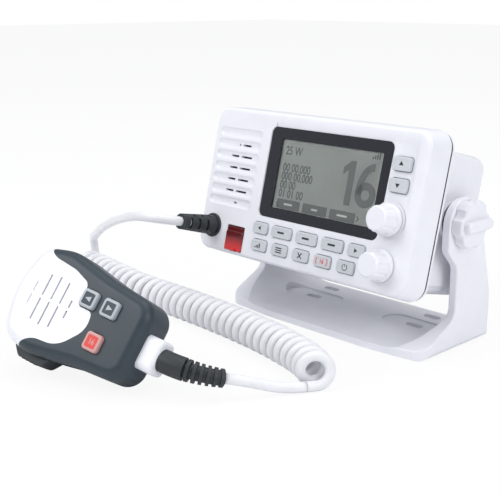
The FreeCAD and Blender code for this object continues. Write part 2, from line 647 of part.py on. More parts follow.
def build_controls():
    for knob, shaft, control, z in (("volume_knob", "volume_shaft", "volume_control", VOLUME_Z),
                                    ("squelch_knob", "squelch_shaft", "squelch_control", SQUELCH_Z)):
        add(knob, fluted_knob(z), RADIO)
        shaft_front = -COLLAR_T - KNOB_GAP - 8.0
        pot_front = BOARD_FRONT + BOARD_T
        add(shaft, rod(SHAFT_R, pot_front + 2 - shaft_front, (KNOB_X, shaft_front, z), (0, 1, 0)), RADIO)
        bush = rod(BUSH_R, pot_front, (KNOB_X, 0, z), (0, 1, 0))
        can = rod(POT_R, POT_L, (KNOB_X, pot_front, z), (0, 1, 0))
        well = rod(SHAFT_R + SHAFT_GAP, pot_front + 3.0, (KNOB_X, -1, z), (0, 1, 0))
        add(control, fused([bush, can]).cut(well), RADIO)


# Strain relief where the cord leaves the radio
def build_radio_relief():
    """Tapered sleeve with staggered windows that bare the cord inside it."""
    flange = rod(RELIEF_FLANGE_R, RELIEF_FLANGE_T, (EXIT_X, -RELIEF_FLANGE_T, EXIT_Z), (0, 1, 0))
    flange = flange.makeFillet(0.5, edges_where(flange, lambda b: b.YMax < -RELIEF_FLANGE_T + 0.01))
    root = rod(RELIEF_ROOT_R, 4.0, (EXIT_X, 0, EXIT_Z), (0, 1, 0))
    sleeve = Part.makeCone(RELIEF_ROOT_R, RELIEF_TIP_R, RELIEF_L, Vector(EXIT_X, 0, EXIT_Z), Vector(0, -1, 0))
    body = fused([flange, root, sleeve])
    core = rod(CORD_D / 2 + 0.7, 2 * RELIEF_L, (EXIT_X, -1.5 * RELIEF_L, EXIT_Z), (0, 1, 0))
    cuts = []
    for row in range(RELIEF_ROWS):
        y = -7.0 - row * RELIEF_ROW_PITCH
        if row % 2:
            window = Part.makeBox(30, RELIEF_WINDOW, 6.4, Vector(EXIT_X - 15, y, EXIT_Z - 3.2))
        else:
            window = Part.makeBox(6.4, RELIEF_WINDOW, 30, Vector(EXIT_X - 3.2, y, EXIT_Z - 15))
        cuts.append(window.cut(core))
    cuts.append(rod(CORD_D / 2 + CORD_BORE_GAP, RELIEF_BORE, (EXIT_X, -RELIEF_L - 0.01, EXIT_Z), (0, 1, 0)))
    add("radio_strain_relief", body.cut(cuts), RADIO)


# Bracket
def bracket_side_outline():
    """Side view (y, z): flared foot, narrow neck and rounded head."""
    half = BRACKET_D / 2
    top = PIVOT_HEIGHT + HEAD_R - 1.0
    return [(-half, 0, 0), (half, 0, 0), (half, BASE_T, 0), (half - 1.5, BASE_T + 3, 2), (20.5, 65.0, 12),
            (HEAD_R + 1.2, top, HEAD_R - 1), (-HEAD_R, top, HEAD_R - 1), (-HEAD_R, 61.0, 5), (-5.5, 50.5, 8),
            (-5.5, 20.2, 9), (-half + 8, 7.6, 4), (-half, BASE_T, 0)]


def build_bracket():
    half_w = BRACKET_W / 2
    inner = half_w - ARM_T
    top = PIVOT_HEIGHT + HEAD_R + 5
    shell = plate([(-half_w, 0, OUTER_R), (half_w, 0, OUTER_R), (half_w, top, 0), (inner, top, 0),
                   (inner, BASE_T, INNER_R), (-inner, BASE_T, INNER_R), (-inner, top, 0), (-half_w, top, 0)],
                  plane_xz(-BRACKET_D), Vector(0, 2 * BRACKET_D, 0))
    side = plate(bracket_side_outline(), plane_yz(-BRACKET_W), Vector(2 * BRACKET_W, 0, 0))
    foot = BRACKET_FOOT_D / 2
    bow = BRACKET_D / 2
    plan = plate([(-half_w, -foot, PLAN_CORNER_R), (-half_w * 0.5, -bow, 60), (half_w * 0.5, -bow, 60),
                  (half_w, -foot, PLAN_CORNER_R), (half_w, bow - 1, PLAN_CORNER_R),
                  (-half_w, bow - 1, PLAN_CORNER_R)],
                 plane_xy(-1), Vector(0, 0, 2 * PIVOT_HEIGHT))
    body = shell.common(side).common(plan)
    cuts = [rod(STUD_R + 0.25, 2 * BRACKET_W, (-BRACKET_W, 0, PIVOT_HEIGHT), (1, 0, 0))]
    for side_x in (-1, 1):
        x = side_x * BOLT_SPACING / 2
        cuts.append(plate(rectangle(PAD_L, PAD_W, PAD_W / 2 - 0.1, x, FRONT_BOLT_Y),
                          plane_xy(BASE_T - PAD_DEPTH), Vector(0, 0, 10)))
        for y in (FRONT_BOLT_Y, REAR_BOLT_Y):
            cuts.append(plate(rectangle(BOLT_SLOT_L, 2 * BOLT_R, BOLT_R - 0.001, x, y), plane_xy(-1),
                              Vector(0, 0, 9)))
    body = body.cut(cuts)
    # rolled front and rear edges of the arms
    rim = edges_where(body, lambda b: b.ZMin > 30 and b.ZMax < 62 and b.XLength < 0.01)
    body = body.makeFillet(1.2, rim) if rim else body
    add("bracket", body)


def build_mount_knobs():
    for name, side in (("mount_knob_left", -1), ("mount_knob_right", 1)):
        x0 = side * (BRACKET_W / 2 + WASHER_GAP)
        grip = rod(GRIP_R, GRIP_T, (x0, 0, PIVOT_HEIGHT), (side, 0, 0))
        scallops = []
        for i in range(GRIP_LOBES):
            angle = 2 * math.pi * (i + 0.5) / GRIP_LOBES
            far = GRIP_R + GRIP_SCALLOP_R * 0.72
            scallops.append(rod(GRIP_SCALLOP_R, GRIP_T + 2,
                                (x0 - side, far * math.cos(angle), PIVOT_HEIGHT + far * math.sin(angle)),
                                (side, 0, 0)))
        grip = grip.cut(scallops)
        outer = x0 + side * GRIP_T
        grip = grip.makeFillet(1.6, edges_where(grip, lambda b: abs(b.XMin - outer) < 0.01 and b.XLength < 0.01))
        wing = plate(rectangle(WING_L, WING_T, WING_T / 2 - 0.1, 0, PIVOT_HEIGHT), plane_yz(outer - side),
                     Vector(side * (WING_H + 1), 0, 0))
        crest = outer + side * WING_H
        wing = wing.makeFillet(2.0, edges_where(wing, lambda b: abs(b.XMin - crest) < 0.01 and b.XLength < 0.01))
        stud_l = BRACKET_W / 2 - HOUSING_W / 2 - BOSS_T + INSERT_L - 1.5
        stud = rod(STUD_R, stud_l, (x0, 0, PIVOT_HEIGHT), (-side, 0, 0))
        add(name, fused([grip, wing, stud]))
    washers = []
    for side in (-1, 1):
        x = side * (HOUSING_W / 2 + BOSS_T)
        ring = rod(WASHER_R, WASHER_T, (x, 0, PIVOT_HEIGHT), (side, 0, 0))
        ring = ring.cut(rod(STUD_R + 0.3, WASHER_T + 2, (x - side, 0, PIVOT_HEIGHT), (side, 0, 0)))
        washers.append(ring)
    add("mount_washers", Part.makeCompound(washers))


# Microphone, in its own frame: x along the body to the tail, y across, z out of the face
def mic_outline(grow=0.0):
    g = grow
    return [(-48.5 - g, 0, 50), (-41.0 - g, -26.0 - g, 13), (-22.0, -30.5 - g, 30), (8.0, -25.0 - g, 40),
            (TAIL_L + g, -22.5 - g, 11), (TAIL_L + g, 22.0 + g, 11), (8.0, 25.5 + g, 40), (-22.0, 31.0 + g, 30),
            (-41.0 - g, 26.5 + g, 13)]


def mic_block(bottom, top):
    return plate(mic_outline(), plane_xy(bottom), Vector(0, 0, top - bottom))


def grille_region(foot, head, grow=0.0):
    g = grow
    corners = [(-60, -40, 0), (-30, -40, 0), (-26 + g, -21.5 - g, 14), (-3 + g, -19.5 - g, 18), (9.5 + g, -5, 12),
               (7.5 + g, 4.6, 3), (-2.4 + g, 4.6, 2), (-2.4 + g, 17.5, 4), (-14 + g, 21.5 + g, 18), (-34, 23.5 + g, 14),
               (-44, 40, 0), (-60, 40, 0)]
    return plate(corners, plane_xy(foot), Vector(0, 0, head - foot))


def ptt_pocket():
    return Part.makeBox(PTT_RIGHT - PTT_LEFT + 2 * PTT_GAP, PTT_IN + PTT_TRAVEL + PTT_GAP + 60,
                        PTT_HIGH - PTT_LOW + 2 * PTT_GAP, Vector(PTT_LEFT - PTT_GAP, -60, PTT_LOW - PTT_GAP))


def mic_place():
    """Stand the microphone on the floor by its own lowest point."""
    probe = nodes["mic_front_shell"].fuse(nodes["mic_rear_shell"]).fuse(nodes["ptt_button"])
    turned = Placement(Vector(MIC_CENTRE_X, MIC_CENTRE_Y, 0), MIC_TURN)
    probe.Placement = turned
    return Placement(Vector(MIC_CENTRE_X, MIC_CENTRE_Y, -probe.BoundBox.ZMin), MIC_TURN)


def build_mic():
    front = mic_block(0, MIC_FRONT_T)
    front = front.makeFillet(MIC_EDGE_R, edges_where(front, lambda b: b.ZMin > MIC_FRONT_T - 0.01))
    rear = mic_block(-MIC_REAR_T, 0)
    rear = rear.makeFillet(MIC_EDGE_R + 1, edges_where(rear, lambda b: b.ZMax < -MIC_REAR_T + 0.01))
    inset = 2 * MIC_WALL
    hollow = plate([(u * (1 - inset / 90), v * (1 - inset / 55), max(r - MIC_WALL, 4)) for u, v, r in mic_outline()],
                   plane_xy(-MIC_REAR_T + MIC_WALL + 4), Vector(0, 0, MIC_REAR_T + PLATE_FOOT - 2 * MIC_WALL - 4))
    region = grille_region(PLATE_FOOT, MIC_FRONT_T + 3)
    plate_body = front.common(region)
    slots = []
    dents = []
    for i, half in enumerate(GRILLE_HALF_LENGTHS):
        x = GRILLE_FIRST + i * GRILLE_PITCH
        foot = PLATE_FOOT - 2 if i else MIC_FRONT_T - 0.6
        for side in (-1, 1):
            length = half - GRILLE_BRIDGE / 2
            low = GRILLE_BRIDGE / 2 if side > 0 else -half
            slot = Part.makeBox(GRILLE_SLOT_W, length, MIC_FRONT_T + 2 - foot,
                                Vector(x - GRILLE_SLOT_W / 2, low + 0.45, foot))
            slots.append(slot)
            if i:
                dents.append(Part.makeBox(GRILLE_SLOT_W + 2, length + 1, PLATE_FOOT,
                                          Vector(x - GRILLE_SLOT_W / 2 - 1, low - 0.05, 2)))
    nodes["mic_grille"] = plate_body.cut(slots)
    key_holes = []
    for name, x, y in MIC_KEYS:
        key_holes.append(plate(rectangle(MIC_KEY + 2 * KEY_GAP, MIC_KEY + 2 * KEY_GAP, MIC_KEY_CORNER_R + KEY_GAP, x, y),
                               plane_xy(0), Vector(0, 0, 40)))
    collar_section = rectangle(MIC_COLLAR_W, MIC_COLLAR_T, 3.5, MIC_COLLAR_A, -1.0)
    collar_hole = plate(collar_section, plane_yz(TAIL_L - 3.0), Vector(20, 0, 0))
    nodes["mic_grille"] = nodes["mic_grille"].cut(key_holes)
    nodes["mic_front_shell"] = front.cut([region, hollow, ptt_pocket(), collar_hole] + key_holes + dents)
    nodes["mic_rear_shell"] = rear.cut([hollow, ptt_pocket(), collar_hole,
                                        rod(STUD_NECK_R, 8, (-8, 0, -MIC_REAR_T - 1), (0, 0, 1))])
    build_ptt()
    for name, x, y in MIC_KEYS:
        cap = plate(rectangle(MIC_KEY, MIC_KEY, MIC_KEY_CORNER_R, x, y), plane_xy(PLATE_FOOT - 4.0),
                    Vector(0, 0, MIC_FRONT_T + MIC_KEY_PROUD - PLATE_FOOT + 4.0))
        top = MIC_FRONT_T + MIC_KEY_PROUD
        cap = cap.makeFillet(0.9, edges_where(cap, lambda b: b.ZMin > top - 0.01))
        inset_cut = plate(rectangle(MIC_KEY - 3.2, MIC_KEY - 3.2, 0.8, x, y), plane_xy(top - 0.3), Vector(0, 0, 3))
        nodes[name] = cap.cut(inset_cut)
    collar = plate(collar_section, plane_yz(TAIL_L - 3.0), Vector(MIC_COLLAR_L + 3.0, 0, 0))
    end_x = TAIL_L + MIC_COLLAR_L
    collar = collar.makeFillet(2.2, edges_where(collar, lambda b: b.XMin > end_x - 0.01))
    nodes["mic_collar"] = collar
    board = plate([(-30, -12, 2), (36, -12, 2), (36, 17, 2), (-4, 17, 2), (-4, 12, 2), (-30, 12, 2)],
                  plane_xy(PLATE_FOOT - 4.0 - MIC_KEY_TRAVEL - 0.4 - BOARD_T), Vector(0, 0, BOARD_T))
    capsule_hole = rod(5.0, 9, (-20, 0, -3), (0, 0, 1))
    nodes["mic_board"] = board.cut(capsule_hole)
    nodes["mic_element"] = rod(5.0, 5.5, (-20, 0, 1.2), (0, 0, 1))
    neck = rod(STUD_NECK_R, STUD_NECK_L + 3, (-8, 0, -MIC_REAR_T - STUD_NECK_L), (0, 0, 1))
    head = rod(STUD_HEAD_R, STUD_HEAD_T, (-8, 0, -MIC_REAR_T - STUD_NECK_L - STUD_HEAD_T), (0, 0, 1))
    head = head.makeFillet(0.8, edges_where(head, lambda b: b.ZMax < -MIC_REAR_T - STUD_NECK_L - STUD_HEAD_T + 0.01))
    nodes["mic_hanger_stud"] = fused([neck, head])
    screws = []
    for x, y in ((-33.0, 17.0), (-33.0, -15.0), (31.0, 13.0), (31.0, -14.0)):
        screws.append(rod(2.4, 1.0, (x, y, -MIC_REAR_T - 0.6), (0, 0, 1)).cut(
            Part.makeBox(3.4, 0.7, 0.6, Vector(x - 1.7, y - 0.35, -MIC_REAR_T - 0.7))))
    recesses = [rod(2.4, 2, (x, y, -MIC_REAR_T - 1.6), (0, 0, 1))
                for x, y in ((-33.0, 17.0), (-33.0, -15.0), (31.0, 13.0), (31.0, -14.0))]
    nodes["mic_rear_shell"] = nodes["mic_rear_shell"].cut(recesses)
    nodes["mic_screws"] = Part.makeCompound(screws)
    nodes["mic_strain_relief"] = mic_relief()
    placement = mic_place()
    for name in [n for n in nodes if n.startswith("mic_") or n == "ptt_button"]:
        add(name, nodes[name], placement)
    return placement


def build_ptt():
    """Push-to-talk bar on the lower flank, ribbed across for the thumb."""
    width = PTT_RIGHT - PTT_LEFT
    bar = plate([(PTT_LEFT, PTT_IN, 0), (PTT_LEFT, -29.0, 2), (PTT_LEFT + 5, PTT_OUT, 6), (PTT_RIGHT - 5, PTT_OUT, 6),
                 (PTT_RIGHT, -28.0, 2), (PTT_RIGHT, PTT_IN, 0)], plane_xy(PTT_LOW), Vector(0, 0, PTT_HIGH - PTT_LOW))
    grooves = []
    for i in range(PTT_RIBS):
        x = PTT_LEFT + 4 + i * (width - 8) / (PTT_RIBS - 1)
        grooves.append(rod(0.9, PTT_HIGH - PTT_LOW + 2, (x, PTT_OUT + 0.0, PTT_LOW - 1), (0, 0, 1)))
    nodes["ptt_button"] = bar.cut(grooves)


def mic_relief_frame(distance):
    """Point and direction on the relief's arc, in the microphone's frame."""
    radius = MIC_RELIEF_ARC / math.radians(MIC_RELIEF_BEND)
    turn = distance / radius
    along = Vector(1, 0, 0)
    inverse = MIC_TURN.inverted()
    target = inverse.multVec(Vector(*RELIEF_AIM))
    side = target - along * target.dot(along)
    side.normalize()
    start = Vector(TAIL_L + MIC_COLLAR_L, MIC_COLLAR_A, -1.0)
    point = start + along * (radius * math.sin(turn)) + side * (radius * (1 - math.cos(turn)))
    direction = along * math.cos(turn) + side * math.sin(turn)
    return point, direction, side


def relief_sweep(radius, start, end):
    """Round bar along the relief's arc between two distances."""
    near, heading, side = mic_relief_frame(start)
    middle = mic_relief_frame((start + end) / 2)[0]
    far = mic_relief_frame(end)[0]
    path = Part.Wire([Part.Arc(near, middle, far).toShape()])
    return path.makePipeShell([Part.Wire([Part.Circle(near, heading, radius).toShape()])], True, False)


def mic_relief():
    """Bent segmented sleeve: a plain root, then tapering rings on a thinner core."""
    body = relief_sweep(MIC_RELIEF_CORE_R, 0, MIC_RELIEF_ARC)
    body = body.fuse(relief_sweep(MIC_RELIEF_ROOT_R, 0, MIC_RELIEF_PLAIN))
    step = (MIC_RELIEF_ARC - MIC_RELIEF_PLAIN) / MIC_RELIEF_ROWS
    for i in range(MIC_RELIEF_ROWS):
        start = MIC_RELIEF_PLAIN + (i + 0.38) * step
        point, direction, side = mic_relief_frame(start)
        radius = MIC_RELIEF_ROOT_R - (i + 1) * MIC_RELIEF_TAPER
        body = body.fuse(Part.makeCone(radius, radius - 0.1, 0.5 * step, point - direction * 0.01, direction))
    return body


# Cord
def tangent_arc(apex, before, after, reach):
    """Arc that leaves the line towards the apex and joins the line beyond it."""
    bend = math.pi - math.acos(max(-1.0, min(1.0, before.dot(after))))
    radius = reach / math.tan(bend / 2)
    middle = before + after
    middle.normalize()
    crest = apex + middle * (math.hypot(radius, reach) - radius)
    return Part.Arc(apex + before * reach, crest, apex + after * reach).toShape(), radius


def cord_path(points, label):
    """Straight runs joined by tangent arcs, each as large as its two runs allow."""
    edges = []
    radii = []
    at = points[0]
    for before_point, apex, after_point in zip(points, points[1:], points[2:]):
        before = before_point - apex
        after = after_point - apex
        reach = 0.45 * min(before.Length, after.Length)
        before.normalize()
        after.normalize()
        arc, radius = tangent_arc(apex, before, after, reach)
        radii.append(round(radius, 1))
        edges += [Part.LineSegment(at, apex + before * reach).toShape(), arc]
        at = apex + after * reach
    edges.append(Part.LineSegment(at, points[-1]).toShape())
    wire = Part.Wire(edges)
    print(label, [tuple(round(c, 2) for c in p) for p in points])
    print(label, "radii", radii, "length", round(wire.Length, 1))
    return wire


def round_tube(points, label):
    wire = cord_path(points, label)
    ring = Part.Wire([Part.Circle(points[0], points[1] - points[0], CORD_D / 2).toShape()])
    body = wire.makePipeShell([ring], True, False)
    share = body.Volume / (math.pi * CORD_D ** 2 / 4 * wire.Length)
    print(label, "volume over section times length", round(share, 4))
    return body


def table_value(table, distance):
    for (d0, v0), (d1, v1) in zip(table, table[1:]):
        if distance <= d1:
            return v0 + (v1 - v0) * (distance - d0) / (d1 - d0)
    return table[-1][1]


def coil_wire():
    """Centreline of the curly cord: half turns round a bent axis, each a pair of tangent arcs."""
    radius = (COIL_OD - CORD_D) / 2
    fine = 36
    distance, x, y = 0.0, COIL_START[0], COIL_START[1]
    samples = []
    for i in range(int(COIL_TURNS * fine) + 1):
        heading = math.radians(table_value(COIL_HEADINGS, distance))
        turn = 2 * math.pi * i / fine
        side = Vector(-math.sin(heading), math.cos(heading), 0)
        samples.append(Vector(x, y, COIL_OD / 2) + side * (radius * math.cos(turn))
                       + Vector(0, 0, -radius * math.sin(turn)))
        step = table_value(COIL_PITCHES, distance) / fine
        distance += step
        x += step * math.cos(heading)
        y += step * math.sin(heading)
    print("coil ends at", round(x, 1), round(y, 1), "axis length", round(distance, 1))
    last = len(samples) - 1
    knots = list(range(0, last, fine // 2)) + [last]
    tangents = []
    for k in knots:
        a, b = max(k - 1, 0), min(k + 1, last)
        direction = samples[b] - samples[a]
        if k == 0:
            direction = samples[1] * 4 - samples[0] * 3 - samples[2]
        if k == last:
            direction = samples[last] * 3 - samples[last - 1] * 4 + samples[last - 2]
        direction.normalize()
        tangents.append(direction)
    edges = [Part.LineSegment(samples[0] - tangents[0] * CORD_D, samples[0]).toShape()]
    tightest = 1e9
    for (k0, t0), (k1, t1) in zip(zip(knots, tangents), list(zip(knots, tangents))[1:]):
        p0, p1 = samples[k0], samples[k1]
        chord = p1 - p0
        quadratic = 2 * (t0.dot(t1) - 1)
        linear = -2 * chord.dot(t0 + t1)
        square = chord.dot(chord)
        reach = (-linear - math.sqrt(linear * linear - 4 * quadratic * square)) / (2 * quadratic)
        q0, q1 = p0 + t0 * reach, p1 - t1 * reach
        joint = (q0 + q1) * 0.5
        for start, apex, end in ((p0, q0, joint), (joint, q1, p1)):
            before = start - apex
            after = end - apex
            before.normalize()
            after.normalize()
            arc, size = tangent_arc(apex, before, after, reach)
            tightest = min(tightest, size)
            edges.append(arc)
    edges.append(Part.LineSegment(samples[last], samples[last] + tangents[-1] * CORD_D).toShape())
    gap = 1e9
    for i, p in enumerate(samples):
        for q in samples[i + fine // 2:i + 2 * fine]:
            gap = min(gap, (q - p).Length - CORD_D)
    print("coil tightest radius", round(tightest, 2), "least gap to itself", round(gap, 2))
    return Part.Wire(edges), tangents


def coiled_tube(wire, heading):
    """One unbroken faceted tube along the coil."""
    start = wire.OrderedVertexes[0].Point
    across = Vector(0, 0, 1).cross(heading)
    across.normalize()
    other = heading.cross(across)
    corner_r = CORD_D / 2 * 1.04
    corners = []
    for i in range(WIRE_SIDES + 1):
        angle = 2 * math.pi * (i % WIRE_SIDES + 0.5) / WIRE_SIDES
        corners.append(start + across * (corner_r * math.cos(angle)) + other * (corner_r * math.sin(angle)))
    body = wire.makePipeShell([Part.makePolygon(corners)], True, False)
    section = WIRE_SIDES / 2 * corner_r ** 2 * math.sin(2 * math.pi / WIRE_SIDES)
    print("coil wire length", round(wire.Length, 1), "volume over section times length",
          round(body.Volume / (section * wire.Length), 4), "valid", body.isValid())
    return body


def build_cords(mic_placement):
    wire, tangents = coil_wire()
    start, end = wire.OrderedVertexes[0].Point, wire.OrderedVertexes[-1].Point
    add("cord_coil", coiled_tube(wire, tangents[0]))
    bottom = radio_point(EXIT_X, -RELIEF_L + RELIEF_BORE - 0.01, EXIT_Z)
    outside = radio_point(EXIT_X, -RELIEF_L - 7.5, EXIT_Z)
    points = [bottom, outside] + [Vector(*p) for p in UPPER_MIDDLE] + [start - tangents[0] * 13, start]
    add("cord_upper", round_tube(points, "cord_upper"))
    tip, direction, side = mic_relief_frame(MIC_RELIEF_ARC)
    tip = mic_placement.multVec(tip)
    away = MIC_TURN.multVec(direction)
    points = [end, end + tangents[-1] * END_RUN, tip + away * END_RUN, tip]
    add("cord_lower", round_tube(points, "cord_lower"))


build_bezel()
build_gasket()
build_housing()
build_heat_sink()
build_rear_fittings()
build_case_screws()
build_display()
build_boards()
build_speaker()
build_front_keys()
build_distress()
build_controls()
build_radio_relief()
build_bracket()
build_mount_knobs()
mic_placement = build_mic()
build_cords(mic_placement)

os.makedirs("parts", exist_ok=True)
for name, shape in nodes.items():
    if not shape.isValid():
        print("invalid", name)
    shape.exportStep("parts/%s.step" % name)
print(len(nodes), "nodes")
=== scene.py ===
import bpy
import bmesh
import json
import math
from mathutils import Matrix, Vector


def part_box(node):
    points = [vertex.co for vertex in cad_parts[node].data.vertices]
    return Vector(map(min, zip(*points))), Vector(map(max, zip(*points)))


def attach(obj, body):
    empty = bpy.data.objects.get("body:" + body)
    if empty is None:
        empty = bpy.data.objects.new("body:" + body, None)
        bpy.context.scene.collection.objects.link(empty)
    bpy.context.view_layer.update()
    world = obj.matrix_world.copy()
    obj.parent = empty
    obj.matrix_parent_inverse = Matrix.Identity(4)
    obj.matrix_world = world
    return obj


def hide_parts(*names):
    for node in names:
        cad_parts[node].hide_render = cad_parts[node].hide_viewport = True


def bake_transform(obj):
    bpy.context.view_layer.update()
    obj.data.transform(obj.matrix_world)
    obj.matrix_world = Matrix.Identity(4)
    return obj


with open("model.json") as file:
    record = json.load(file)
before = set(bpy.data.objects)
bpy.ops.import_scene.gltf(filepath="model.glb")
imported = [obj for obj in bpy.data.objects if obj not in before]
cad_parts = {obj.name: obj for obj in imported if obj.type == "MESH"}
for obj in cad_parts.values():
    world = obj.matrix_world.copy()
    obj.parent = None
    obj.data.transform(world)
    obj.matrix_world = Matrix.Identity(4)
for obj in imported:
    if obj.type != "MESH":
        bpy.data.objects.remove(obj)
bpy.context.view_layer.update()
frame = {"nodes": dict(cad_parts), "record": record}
nodes = frame["nodes"]

# Sizes in millimetres, as the part's source has them
MM = 0.001
TILT = math.radians(13.9)
PIVOT_HEIGHT = 76.0
FACE_TO_PIVOT = 51.2
EXIT_X = -71.3
EXIT_Z = -30.4
ROW_1_Z = -25.3
ROW_2_Z = -35.8
CORD_MM = 5.8
CORD_D = CORD_MM * MM
MIC_YAW = math.radians(20.5)
MIC_LEAN = math.radians(58.0)
MIC_ROLL = math.radians(-14.0)
MIC_ELEMENT = Vector((-20.0, 0.0, 3.95))


def radio_point(x, y, z):
    """Point of the radio's own axes, with y from its front face, in the shared frame."""
    back = y - FACE_TO_PIVOT
    return Vector((x, back * math.cos(TILT) + z * math.sin(TILT),
                   PIVOT_HEIGHT - back * math.sin(TILT) + z * math.cos(TILT))) * MM


def mid_box(name):
    low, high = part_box(name)
    return (Vector(low) + Vector(high)) / 2


# Placements of the radio's and the microphone's own axes, whose units are millimetres
RADIO = Matrix.Translation(radio_point(0, 0, 0)) @ Matrix.Rotation(-TILT, 4, "X") @ Matrix.Scale(MM, 4)
MIC_TURN = (Matrix.Rotation(MIC_YAW, 4, "Z") @ Matrix.Rotation(MIC_LEAN, 4, "X")
            @ Matrix.Rotation(MIC_ROLL, 4, "Z"))
MIC_ORIGIN = mid_box("mic_element") - MIC_TURN @ (MIC_ELEMENT * MM)
MIC = Matrix.Translation(MIC_ORIGIN) @ MIC_TURN @ Matrix.Scale(MM, 4)


# Camera, solved from the front panel's outline in the photograph
CAMERA_LENS = 68.4
CAMERA_SENSOR = 36.0
CAMERA_PLACE = Vector((371.0, -454.0, 200.0))
CAMERA_DIP = 14.9
CAMERA_TURN = 45.8


def make_camera():
    data = bpy.data.cameras.new("camera")
    data.lens = CAMERA_LENS
    data.sensor_width = CAMERA_SENSOR
    data.clip_start = 0.01
    camera = bpy.data.objects.new("camera", data)
    camera.location = CAMERA_PLACE * MM
    camera.rotation_euler = (math.radians(90.0 - CAMERA_DIP), 0.0, math.radians(CAMERA_TURN))
    bpy.context.scene.collection.objects.link(camera)
    bpy.context.scene.camera = camera


make_camera()


# Materials
def new_material(name, colour, roughness, **extra):
    """Moulded surface: one noise mottles the colour and varies the roughness, another gives a fine bump."""
    material = bpy.data.materials.new(name)
    material.use_nodes = True
    tree = material.node_tree
    shader = tree.nodes["Principled BSDF"]
    coordinates = tree.nodes.new("ShaderNodeTexCoord")
    mottle = tree.nodes.new("ShaderNodeTexNoise")
    mottle.inputs["Scale"].default_value = extra.get("mottle_scale", 90.0)
    mottle.inputs["Detail"].default_value = 6.0
    tree.links.new(coordinates.outputs["Object"], mottle.inputs["Vector"])
    ramp = tree.nodes.new("ShaderNodeValToRGB")
    spread = extra.get("mottle", 0.04)
    ramp.color_ramp.elements[0].position = 0.3
    ramp.color_ramp.elements[1].position = 0.7
    ramp.color_ramp.elements[0].color = [c * (1 - spread) for c in colour[:3]] + [1]
    ramp.color_ramp.elements[1].color = [min(1.0, c * (1 + spread * 0.5)) for c in colour[:3]] + [1]
    tree.links.new(mottle.outputs["Fac"], ramp.inputs["Fac"])
    tree.links.new(ramp.outputs["Color"], shader.inputs["Base Color"])
    sheen = tree.nodes.new("ShaderNodeMapRange")
    sheen.inputs["To Min"].default_value = roughness * 0.85
    sheen.inputs["To Max"].default_value = min(1.0, roughness * 1.2)
    tree.links.new(mottle.outputs["Fac"], sheen.inputs["Value"])
    tree.links.new(sheen.outputs["Result"], shader.inputs["Roughness"])
    grain = tree.nodes.new("ShaderNodeTexNoise")
    grain.inputs["Scale"].default_value = extra.get("grain_scale", 1400.0)
    grain.inputs["Detail"].default_value = 3.0
    tree.links.new(coordinates.outputs["Object"], grain.inputs["Vector"])
    bump = tree.nodes.new("ShaderNodeBump")
    bump.inputs["Strength"].default_value = extra.get("grain", 0.12)
    bump.inputs["Distance"].default_value = extra.get("grain_depth", 0.0001)
    tree.links.new(grain.outputs["Fac"], bump.inputs["Height"])
    tree.links.new(bump.outputs["Normal"], shader.inputs["Normal"])
    shader.inputs["Metallic"].default_value = extra.get("metallic", 0.0)
    shader.inputs["Coat Weight"].default_value = extra.get("coat", 0.0)
    shader.inputs["Coat Roughness"].default_value = extra.get("coat_roughness", 0.1)
    shader.inputs["Specular IOR Level"].default_value = extra.get("specular", 0.5)
    return material


def red_flap_material():
    """Glossy red cover with painted light: painted shade darkens its top, and a painted highlight brightens
    its lower edge.
    """
    material = new_material("red_cover_painted_light", (0.42, 0.012, 0.012), 0.22, mottle=0.1, coat=0.6, grain=0.03)
    tree = material.node_tree
    shader = tree.nodes["Principled BSDF"]
    coordinates = tree.nodes.new("ShaderNodeTexCoord")
    split = tree.nodes.new("ShaderNodeSeparateXYZ")
    tree.links.new(coordinates.outputs["Object"], split.inputs["Vector"])
    low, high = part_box("distress_cover")
    # Painted light: the red runs from a bright lower edge (painted highlight) to a dark top (painted shade),
    # set by height on the cover
    painted_light_height = tree.nodes.new("ShaderNodeMapRange")
    painted_light_height.inputs["From Min"].default_value = low[2]
    painted_light_height.inputs["From Max"].default_value = high[2]
    tree.links.new(split.outputs["Z"], painted_light_height.inputs["Value"])
    ramp = tree.nodes.new("ShaderNodeValToRGB")
    ramp.color_ramp.elements[0].position = 0.15
    ramp.color_ramp.elements[0].color = (0.62, 0.016, 0.018, 1)
    ramp.color_ramp.elements[1].position = 0.62
    ramp.color_ramp.elements[1].color = (0.11, 0.006, 0.008, 1)
    tree.links.new(painted_light_height.outputs["Result"], ramp.inputs["Fac"])
    tree.links.new(ramp.outputs["Color"], shader.inputs["Base Color"])
    return material


def glass_material():
    """Thin clear window: mostly see-through, with a glossy front."""
    material = bpy.data.materials.new("window_clear")
    material.use_nodes = True
    tree = material.node_tree
    tree.nodes.remove(tree.nodes["Principled BSDF"])
    clear = tree.nodes.new("ShaderNodeBsdfTransparent")
    gloss = tree.nodes.new("ShaderNodeBsdfGlossy")
    haze = tree.nodes.new("ShaderNodeTexNoise")
    haze.inputs["Scale"].default_value = 160.0
    spread = tree.nodes.new("ShaderNodeMapRange")
    spread.inputs["To Min"].default_value = 0.03
    spread.inputs["To Max"].default_value = 0.09
    tree.links.new(haze.outputs["Fac"], spread.inputs["Value"])
    tree.links.new(spread.outputs["Result"], gloss.inputs["Roughness"])
    fresnel = tree.nodes.new("ShaderNodeFresnel")
    fresnel.inputs["IOR"].default_value = 1.25
    mix = tree.nodes.new("ShaderNodeMixShader")
    tree.links.new(fresnel.outputs["Fac"], mix.inputs["Fac"])
    tree.links.new(clear.outputs["BSDF"], mix.inputs[1])
    tree.links.new(gloss.outputs["BSDF"], mix.inputs[2])
    tree.links.new(mix.outputs["Shader"], tree.nodes["Material Output"].inputs["Surface"])
    return material


